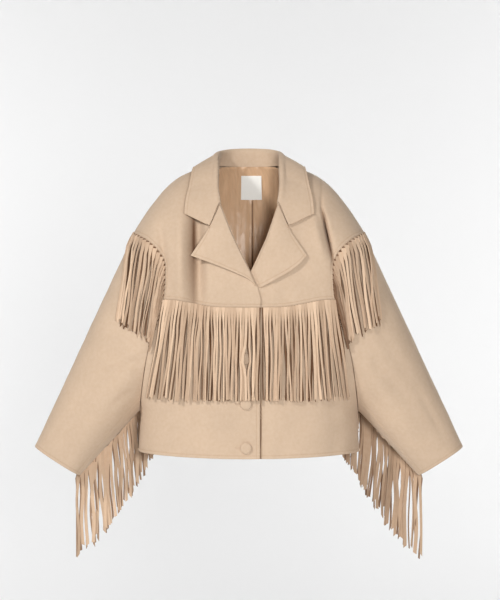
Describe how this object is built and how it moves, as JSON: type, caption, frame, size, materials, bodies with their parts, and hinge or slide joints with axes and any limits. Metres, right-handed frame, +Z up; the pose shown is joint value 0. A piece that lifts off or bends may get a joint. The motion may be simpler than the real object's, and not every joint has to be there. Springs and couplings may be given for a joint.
{
  "type": "fringed suede jacket",
  "caption": "Cropped button-front suede jacket with notched lapels, wide dropped sleeves and long strand fringe, filled out as worn with hollow body and sleeves.",
  "frame": {"origin": "centre line of the neck, mid-depth between chest and back, at the height of the back neck seam, where the wearer's shoulders hold the jacket", "axes": "+Z up, front of the jacket towards -Y, the wearer's left towards +X"},
  "size_m": [0.898, 0.2568, 0.8604],
  "materials": {
    "suede": "matte sueded nap",
    "lining": "satin",
    "label": "woven ribbon"
  },
  "bodies": {
    "root": {"back_panel": "suede", "back_lining": "lining", "neck_label": "label", "front_yoke_right": "suede", "front_yoke_left": "suede", "front_panel_right": "suede", "front_panel_left": "suede", "chest_fringe_right": "suede", "chest_fringe_left": "suede", "lapel_right": "suede", "lapel_left": "suede", "sleeve_top_right": "suede", "sleeve_top_left": "suede", "sleeve_under_right": "suede", "sleeve_under_left": "suede", "sleeve_fringe_right": "suede", "sleeve_fringe_left": "suede", "arm_fringe_front_right": "suede", "arm_fringe_front_left": "suede", "arm_fringe_back_right": "suede", "arm_fringe_back_left": "suede", "collar_fall": "suede", "collar_stand": "suede", "button_1": "suede", "button_2": "suede", "button_3": "suede"}
  },
  "joints": []
}
